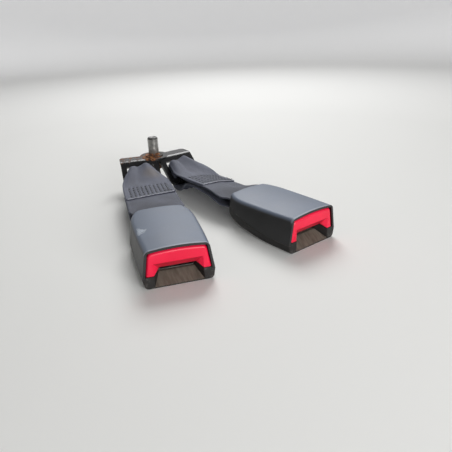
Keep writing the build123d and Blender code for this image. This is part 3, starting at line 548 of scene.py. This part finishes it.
def belt_stations():
    """One strip: from its hidden end forwards, round the buckle's bar, back and round the anchor bar."""
    front = round_bar(BUCKLE_BAR_X, BUCKLE_BAR_Z, FRONT_LOOP, 90, -180, BAR_HALF_AT_BUCKLE, 0.0)
    rear = round_bar(ANCHOR_BAR_X, ANCHOR_BAR_Z, REAR_LOOP, 270, -90, BAR_HALF_AT_ANCHOR, 1.0)
    return [*UPPER_RUN, *front, *LOWER_RUN, *rear, *TENT_RUN]


def between(a, b, c, d, t):
    """A smooth curve from b to c, a share t of the way, with a before and d after."""
    return 0.5 * (2 * b + (c - a) * t + (2 * a - 5 * b + 4 * c - d) * t**2 + (3 * b - a - 3 * c + d) * t**3)


def through(stations, step):
    """Close stations on a smooth curve through the given ones, each with its distance along the belt."""
    found, travelled = [], 0.0
    last = len(stations) - 1
    for i in range(last):
        around = [stations[max(i - 1, 0)], stations[i], stations[i + 1], stations[min(i + 2, last)]]
        length = math.dist(stations[i][:2], stations[i + 1][:2])
        count = max(2, math.ceil(length / step))
        for k in range(count + (i == last - 1)):
            t = k / count
            row = [between(a, b, c, d, t) for a, b, c, d in zip(*around)]
            if found:
                travelled += math.dist(row[:2], found[-1][0][:2])
            found.append((row, travelled))
    return found


def wave_height(half, gather):
    """How high waves stand when the whole width of cloth is gathered into twice half."""
    spare = max(WEBBING_HALF / half - 1.0, 0.0)
    steep = 2 * math.sqrt(spare) * (1 + 0.33 * spare)
    return gather * steep * half / (math.pi * GATHER_WAVES)


def cloth_rows(side_name):
    """Rows of places across the belt, in a buckle's own frame, each with its distance along the belt."""
    track = through(belt_stations(), TRACK_STEP)
    total = track[-1][1]
    rows = []
    for i, (station, travelled) in enumerate(track):
        x, z, left, right, gather, tent = station
        ahead = track[min(i + 1, len(track) - 1)][0]
        behind = track[max(i - 1, 0)][0]
        direction = Vector((ahead[0] - behind[0], 0, ahead[1] - behind[1])).normalized()
        outward = Vector((-direction.z, 0, direction.x))
        on_top = travelled > total - LAP_REACH
        rolled = smooth(x, *ROLL_GROWS) * (1 - smooth(x, *ROLL_FADES)) * ROLL[side_name]
        row = []
        for k in range(CLOTH_STEPS + 1):
            v = 2 * k / CLOTH_STEPS - 1
            y = v * (right if v > 0 else left)
            point = Vector((x, y, z))
            wave = wave_height(min(left, right), gather) * math.cos(math.pi * GATHER_WAVES * (v + 1))
            point += outward * wave
            point.z += tent * curve_at(TENT_PROFILE, v)
            point.z -= rolled * v * (ROLL_RIGHT_SHARE if v > 0 else ROLL_LEFT_SHARE)
            if on_top:
                point.x -= LAP_SLANT * y * smooth(x, *SLANT_GROWS)
                point.z += pucker(v, total - travelled)
            row.append(point)
        rows.append((row, travelled))
    return rows


def pucker(v, from_end):
    """How the stitching draws the cloth in, in millimetres."""
    inside = smooth(from_end, *PUCKER_STARTS) * (1 - smooth(from_end, *PUCKER_STOPS))
    across = v * WEBBING_HALF / COLUMN_PITCH
    edge = 1 - smooth(abs(v) * WEBBING_HALF, *PUCKER_EDGE)
    return -PUCKER_DEPTH * inside * edge * (1 - math.cos(2 * math.pi * across))


def row_normals(rows):
    """The cloth's normal at each place of its rows."""
    normals = []
    last = len(rows) - 1
    for i, (row, _travelled) in enumerate(rows):
        ahead, behind = rows[min(i + 1, last)][0], rows[max(i - 1, 0)][0]
        line = []
        for k in range(len(row)):
            along = ahead[k] - behind[k]
            across = row[min(k + 1, len(row) - 1)] - row[max(k - 1, 0)]
            line.append(along.cross(across).normalized())
        normals.append(line)
    return normals


def skin(bm, rings):
    """Joins each closed ring to the next with four-sided faces."""
    count = len(rings[0])
    for a, b in zip(rings, rings[1:]):
        for k in range(count):
            bm.faces.new((a[k], a[(k + 1) % count], b[(k + 1) % count], b[k]))


def link_mesh(name, bm, material):
    """Turns a bmesh into an object with smooth faces."""
    mesh = bpy.data.meshes.new(name)
    bm.to_mesh(mesh)
    bm.free()
    for polygon in mesh.polygons:
        polygon.use_smooth = True
    obj = bpy.data.objects.new(name, mesh)
    bpy.context.collection.objects.link(obj)
    set_material(obj, material)
    return obj


def new_piece(name, bm, material, matrix=None):
    """A closed piece, moved by the matrix if one is given, with its faces turned outwards."""
    if matrix is not None:
        bmesh.ops.transform(bm, matrix=matrix, verts=bm.verts)
    bmesh.ops.recalc_face_normals(bm, faces=bm.faces)
    return link_mesh(name, bm, material)


def belt_section(row, line):
    """A closed outline round one row of the cloth, as places, each with its step across."""
    last = len(row) - 1
    half_thick = WEBBING_THICK / 2
    swell = [SELVEDGE_SWELL if k in (1, last - 1) else 1.0 for k in range(last + 1)]
    edge_right = (row[last] - row[last - 1]).normalized() * SELVEDGE_ROUND
    edge_left = (row[0] - row[1]).normalized() * SELVEDGE_ROUND
    places = [(row[k] + line[k] * half_thick * swell[k], k) for k in range(last + 1)]
    places.append((row[last] + edge_right, last))
    places += [(row[k] - line[k] * half_thick * swell[k], k) for k in range(last, -1, -1)]
    places.append((row[0] + edge_left, 0))
    return places


def make_belt(side_name, rows, normals):
    """The belt as a closed strip with rounded selvedges."""
    bm = bmesh.new()
    cloth = bm.verts.layers.float_vector.new("cloth")
    rings = []
    for (row, travelled), line in zip(rows, normals):
        ring = []
        for place, k in belt_section(row, line):
            vert = bm.verts.new(place)
            vert[cloth] = (travelled, (2 * k / (len(row) - 1) - 1) * WEBBING_HALF, 0)
            ring.append(vert)
        rings.append(ring)
    skin(bm, rings)
    for ring in (rings[0], rings[-1]):
        close_end(bm, ring)
    return new_piece(f"{side_name}_belt", bm, materials["webbing"], side_matrix(SIDES[side_name]))


def close_end(bm, ring):
    """Fills the open end of the strip with a row of four-sided faces."""
    last = CLOTH_STEPS
    for k in range(last):
        bm.faces.new((ring[k], ring[k + 1], ring[2 * last + 1 - k], ring[2 * last + 2 - k]))
    bm.faces.new((ring[last], ring[last + 1], ring[last + 2]))
    bm.faces.new((ring[0], ring[2 * last + 2], ring[2 * last + 3]))


def tube(bm, points, radius, sides=6):
    """A round thread through points, closed at both ends."""
    rings = []
    last = len(points) - 1
    for i, point in enumerate(points):
        along = (points[min(i + 1, last)] - points[max(i - 1, 0)]).normalized()
        side = along.cross(Vector((0, 0, 1)))
        side = side.normalized() if side.length > 0.01 else Vector((0, 1, 0))
        up = side.cross(along)
        size = radius * (0.5 if i in (0, last) else 1.0)
        ring = []
        for k in range(sides):
            angle = 2 * math.pi * k / sides
            ring.append(bm.verts.new(point + (side * math.cos(angle) + up * math.sin(angle)) * size))
        rings.append(ring)
    skin(bm, rings)
    bm.faces.new(rings[0][::-1])
    bm.faces.new(rings[-1])


class Cloth:
    """Reads the top of the belt's lap at a distance from its end and across it."""

    def __init__(self, rows, normals):
        self.rows, self.normals = rows, normals
        self.total = rows[-1][1]

    def at(self, from_end, across, lift):
        travelled = self.total - from_end
        i = len(self.rows) - 2
        while self.rows[i][1] > travelled and i > 0:
            i -= 1
        low, high = self.rows[i], self.rows[i + 1]
        t = (travelled - low[1]) / (high[1] - low[1])
        spot = (across / WEBBING_HALF + 1) / 2 * CLOTH_STEPS
        k = min(int(spot), CLOTH_STEPS - 1)
        u = spot - k
        near_end = low[0][k].lerp(low[0][k + 1], u)
        point = near_end.lerp(high[0][k].lerp(high[0][k + 1], u), t)
        normal = self.normals[i][k]
        if normal.z < 0:
            normal = -normal
        return point + normal * (WEBBING_THICK / 2 + lift)


def make_stitching(side_name, cloth):
    """Columns of zigzag lockstitch through the lap, with a few loose ends where the sewing stops."""
    bm = bmesh.new()
    draw = random.Random(STITCH_SEED)
    for column in range(COLUMNS):
        across = (column - (COLUMNS - 1) / 2) * COLUMN_PITCH
        count = int(COLUMN_LENGTH / STITCH)
        start = COLUMN_START + draw.uniform(-0.4, 0.4)
        for i in range(count):
            swing = ZIGZAG if i % 2 else -ZIGZAG
            points = []
            for t, lift in STITCH_ARC:
                points.append(cloth.at(start + (i + t) * STITCH, across + swing * (1 - 2 * t), lift))
            tube(bm, points, THREAD)
    for i in range(LOOSE_ENDS):
        foot = cloth.at(COLUMN_START - 1.5 + 0.3 * i, LOOSE_ACROSS + draw.uniform(-1.5, 2.5), 0.0)
        lean = Vector((draw.uniform(-0.8, 0.9), draw.uniform(-0.4, 1.0), draw.uniform(0.5, 1.0)))
        curl = Vector((draw.uniform(-1, 1), draw.uniform(-1, 1), draw.uniform(-0.8, 0.1)))
        reach = draw.uniform(1.6, 3.4)
        points = [foot + lean * reach * t + curl * 2.2 * t * t for t in (0, 0.25, 0.5, 0.75, 1)]
        tube(bm, points, LOOSE_THREAD)
    return new_piece(f"{side_name}_stitching", bm, materials["thread"], side_matrix(SIDES[side_name]))


def make_sealed_end(side_name, cloth):
    """The lap's heat-sealed cut, a pale uneven bead across its end."""
    bm = bmesh.new()
    draw = random.Random(SEALED_SEED)
    points = []
    for k in range(SEALED_STEPS + 1):
        across = -SEALED_HALF + 2 * SEALED_HALF * k / SEALED_STEPS
        points.append(cloth.at(0.1 + draw.uniform(0, 0.3), across, -0.28 + draw.uniform(-0.10, 0.10)))
    tube(bm, points, SEALED_BEAD)
    return new_piece(f"{side_name}_sealed_end", bm, materials["sealed"], side_matrix(SIDES[side_name]))


def make_webbing(side_name):
    """One side's belt, with its stitching and sealed end, which are attached to the strap."""
    rows = cloth_rows(side_name)
    normals = row_normals(rows)
    belt = make_belt(side_name, rows, normals)
    cloth = Cloth(rows, normals)
    extras = [make_stitching(side_name, cloth), make_sealed_end(side_name, cloth)]
    for piece in extras:
        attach(piece, f"{side_name}_strap")
    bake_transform(belt)
    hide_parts(f"{side_name}_webbing")


for side_name in SIDES:
    make_webbing(side_name)


# ---------------------------------------------------------------- bolt
PITCH = 1.27
THREAD_MAJOR, THREAD_MINOR = 5.55, 4.85
TURN_STEPS = 96
THREAD_TOP, THREAD_FOOT = 17.6, 1.5
THREAD_RUN_IN, THREAD_RUN_OUT = (1.6, 2.8), (16.9, 17.6)
UNCUT_FOOT, UNCUT_TIP = 5.0, 5.2
ROOT_SHARE, FLANK_SHARE = 0.12, 0.7
RINGS_PER_PITCH = 7
ACROSS_FLATS = 17.0
# Stretches of the bolt as heights and radii, from its tip down. The head's hexagon is kept within its radii,
# and the dish is a shallow one in the head's face.
TIP = ((18.1, 0.6), (18.1, 2.6), (18.6, 3.4), (18.6, 4.3), (17.7, 5.15))
SHOULDER = ((1.2, 4.95), (0.35, 4.95), (0.08, 5.3), (0.0, 6.0), (-0.35, 6.45), (-4.55, 6.45))
FLANGE = ((-4.6, 7.0), (-4.62, 9.8), (-5.0, 10.35), (-6.2, 10.1), (-6.6, 9.7))
HEAD = ((-6.62, 9.6), (-7.4, 9.79), (-12.6, 9.79), (-13.6, 9.2), (-14.6, 8.3))
DISH = ((-14.6, 6.6), (-14.1, 5.4), (-14.1, 0.6))


def hexagon(angle, across_flats):
    """The radius of a hexagon at an angle."""
    sector = math.pi / 3
    return across_flats / 2 / math.cos((angle + sector / 2) % sector - sector / 2)


def thread_radius(angle, height):
    """The thread's radius, fading out at the tip and above the shoulder."""
    turn = (height / PITCH - angle / (2 * math.pi)) % 1.0
    tooth = 1 - abs(2 * turn - 1)
    crest = min(max((tooth - ROOT_SHARE) / FLANK_SHARE, 0.0), 1.0)
    cut = smooth(height, *THREAD_RUN_IN) * (1 - smooth(height, *THREAD_RUN_OUT))
    core = THREAD_MINOR + (THREAD_MAJOR - THREAD_MINOR) * crest
    uncut = UNCUT_FOOT if height < THREAD_RUN_OUT[0] else UNCUT_TIP
    return core * cut + uncut * (1 - cut)


def plain(radius):
    """A round ring's radius at any angle."""
    return lambda angle: radius


def bolt_profile():
    """Rings of the bolt from its tip down: a height and the radius as a function of the angle."""
    rings = [(height, plain(radius)) for height, radius in TIP]
    height = THREAD_TOP
    while height > THREAD_FOOT:
        rings.append((height, lambda angle, h=height: thread_radius(angle, h)))
        height -= PITCH / RINGS_PER_PITCH
    rings += [(height, plain(radius)) for height, radius in SHOULDER + FLANGE]
    for height, limit in HEAD:
        rings.append((height, lambda angle, limit=limit: min(hexagon(angle, ACROSS_FLATS), limit)))
    return rings + [(height, plain(radius)) for height, radius in DISH]


def make_bolt():
    """The bolt with its cut thread, closed by caps at the tip and inside the head."""
    bm = bmesh.new()
    rings = []
    for height, radius in bolt_profile():
        ring = []
        for k in range(TURN_STEPS):
            angle = 2 * math.pi * k / TURN_STEPS
            size = radius(angle)
            place = (size * math.cos(angle) * MM, size * math.sin(angle) * MM, height * MM)
            ring.append(bm.verts.new(place))
        rings.append(ring)
    skin(bm, rings)
    bm.faces.new(rings[0])
    bm.faces.new(rings[-1][::-1])
    bolt = new_piece("threaded_bolt", bm, materials["bolt"])
    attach(bolt, "bolt")
    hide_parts("anchor_bolt")


make_bolt()


# ---------------------------------------------------------------- springs
# Each coil spring that a slide presses on, the slide's joint and how far it shortens.
PRESSED_SPRINGS = (
    ("ejector_spring", "ejector_slide", 11 * MM),
    ("button_spring", "button_press", 5.5 * MM),
)


def make_spring(side_name, side, node_name):
    """A copy of the coil in spring steel, attached to the buckle in place of the imported one."""
    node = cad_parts[f"{side_name}_{node_name}"]
    bm = bmesh.new()
    bm.from_mesh(node.data)
    coil = new_piece(f"{side_name}_{node_name}_coil", bm, materials["spring"], node.matrix_world.copy())
    back = Vector((-side * math.sin(SPREAD), math.cos(SPREAD), 0))
    seat = max((vertex.co for vertex in coil.data.vertices), key=back.dot).copy()
    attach(coil, f"{side_name}_buckle")
    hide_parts(f"{side_name}_{node_name}")
    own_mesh(coil)


for side_name, side in SIDES.items():
    for node_name, joint, travel in PRESSED_SPRINGS:
        make_spring(side_name, side, node_name)


# ---------------------------------------------------------------- stage, camera, light
FLAT_RADIUS, TURN_RADIUS, BACKDROP_TOP = 1.2, 0.8, 2.4
FLOOR_STEPS, TURN_UP_STEPS = 96, 12
FLOOR_CENTRE = (0.0, 0.12, -FLOOR_Z)  # added to a place, so that the painted pool of light spreads from under the buckles
FLOOR_IN_BOUNCES = (0.62, 0.62, 0.61)
# The glow is painted light, rising towards the backdrop.
GLOW_NEAR, GLOW_FAR, GLOW_BACKDROP = 0.03, 0.10, 0.34
# A painted pool of light: the floor is painted brightest under the buckles and darker outwards.
FLOOR_PAINTED_POOL = (
    (0.05, (0.95, 0.95, 0.93)),
    (0.24, (0.80, 0.80, 0.785)),
    (0.5, (0.74, 0.74, 0.73)),
    (1.0, (0.80, 0.80, 0.79)),
)


def floor_material():
    """Pale, with a painted pool of light and a glow, where the camera or a reflection sees it, and plain
    grey for bounced light.
    """
    n = Nodes("studio_floor")
    middle = n.add("ShaderNodeVectorMath", {0: n.place(), 1: FLOOR_CENTRE}, operation="ADD").outputs[0]
    reach = n.add("ShaderNodeVectorMath", {0: middle}, operation="LENGTH").outputs["Value"]
    path = n.add("ShaderNodeLightPath").outputs
    mirrored = n.maths("MAXIMUM", path["Is Glossy Ray"], path["Is Transmission Ray"])
    seen = n.maths("MAXIMUM", path["Is Camera Ray"], mirrored)
    painted_pool = n.ramp(n.maths("DIVIDE", reach, FLAT_RADIUS + TURN_RADIUS), FLOOR_PAINTED_POOL)
    shade = n.add("ShaderNodeBsdfDiffuse", {"Color": n.mix(seen, FLOOR_IN_BOUNCES, painted_pool)})
    glow = n.add("ShaderNodeEmission", {"Color": (0.98, 0.98, 1.0, 1.0)})
    near_glow = n.span(reach, 0.3, 1.15, GLOW_NEAR, GLOW_FAR)
    glow_level = n.maths("ADD", near_glow, n.span(reach, 1.15, 1.65, 0.0, GLOW_BACKDROP))
    n.put(glow.inputs["Strength"], n.times(seen, glow_level))
    both = n.add("ShaderNodeAddShader", {0: shade.outputs[0], 1: glow.outputs[0]})
    n.tree.links.new(both.outputs[0], n.output.inputs["Surface"])
    return n.material


def make_stage():
    """A round pale floor whose rim turns up into a backdrop on every side."""
    bm = bmesh.new()
    rings = []
    profile = [(0.0, 0.0), (0.4, 0.0), (0.8, 0.0), (FLAT_RADIUS, 0.0)]
    for i in range(1, TURN_UP_STEPS + 1):
        turn = math.radians(90 * i / TURN_UP_STEPS)
        radius = FLAT_RADIUS + TURN_RADIUS * math.sin(turn)
        profile.append((radius, TURN_RADIUS - TURN_RADIUS * math.cos(turn)))
    profile.append((FLAT_RADIUS + TURN_RADIUS, BACKDROP_TOP))
    for radius, height in profile[1:]:
        ring = []
        for k in range(FLOOR_STEPS):
            angle = 2 * math.pi * k / FLOOR_STEPS
            place = (radius * math.cos(angle), radius * math.sin(angle), FLOOR_Z + height)
            ring.append(bm.verts.new(place))
        rings.append(ring)
    middle = bm.verts.new((0, 0, FLOOR_Z))
    for k in range(FLOOR_STEPS):
        after = (k + 1) % FLOOR_STEPS
        bm.faces.new((middle, rings[0][k], rings[0][after]))
        for a, b in zip(rings, rings[1:]):
            bm.faces.new((a[k], b[k], b[after], a[after]))
    floor = link_mesh("studio_floor", bm, floor_material())


CAMERA_PLACE = Vector((-147.85, -465.40, 137.18)) * MM
CAMERA_AZIMUTH, CAMERA_ELEVATION, CAMERA_ROLL = map(math.radians, (26.397, 25.074, -2.178))
CAMERA_LENS, CAMERA_SENSOR = 36.65, 36.0
WORLD_STRENGTH = 0.17


def add_area(name, place, target, size, power):
    """A rectangular lamp at a place, turned to its target."""
    lamp = bpy.data.lights.new(name, "AREA")
    lamp.shape = "RECTANGLE"
    lamp.size, lamp.size_y = size
    lamp.energy = power
    obj = bpy.data.objects.new(name, lamp)
    obj.location = place
    obj.rotation_mode = "QUATERNION"
    obj.rotation_quaternion = (Vector(target) - Vector(place)).to_track_quat("-Z", "Y")
    bpy.context.collection.objects.link(obj)


def make_camera():
    """The photo's camera, from its place, where it looks and its roll."""
    azimuth, elevation, roll = CAMERA_AZIMUTH, CAMERA_ELEVATION, CAMERA_ROLL
    forward = Vector(
        (
            math.sin(azimuth) * math.cos(elevation),
            math.cos(azimuth) * math.cos(elevation),
            -math.sin(elevation),
        )
    )
    right = Vector((math.cos(azimuth), -math.sin(azimuth), 0))
    up = right.cross(forward)
    right_rolled = right * math.cos(roll) + up * math.sin(roll)
    up_rolled = up * math.cos(roll) - right * math.sin(roll)
    camera = bpy.data.cameras.new("camera")
    camera.sensor_width = CAMERA_SENSOR
    camera.lens = CAMERA_LENS
    camera.clip_start, camera.clip_end = 0.01, 20.0
    obj = bpy.data.objects.new("camera", camera)
    turn = Matrix((right_rolled, up_rolled, -forward)).transposed().to_4x4()
    obj.matrix_world = Matrix.Translation(CAMERA_PLACE) @ turn
    bpy.context.collection.objects.link(obj)
    bpy.context.scene.camera = obj


def make_world():
    """Even light from all round."""
    world = bpy.data.worlds.new("studio")
    world.use_nodes = True
    background = world.node_tree.nodes["Background"]
    background.inputs["Color"].default_value = (1.0, 1.0, 0.98, 1.0)
    background.inputs["Strength"].default_value = WORLD_STRENGTH
    bpy.context.scene.world = world


make_stage()
make_camera()
make_world()
add_area("key", place=(0.42, 0.60, 0.86), target=(0, -0.12, 0), size=(0.65, 0.65), power=10.4)
add_area("fill", place=(0.06, -1.0, 0.17), target=(0, -0.15, 0), size=(0.6, 0.26), power=5.3)
bpy.context.scene.view_settings.view_transform = "Standard"
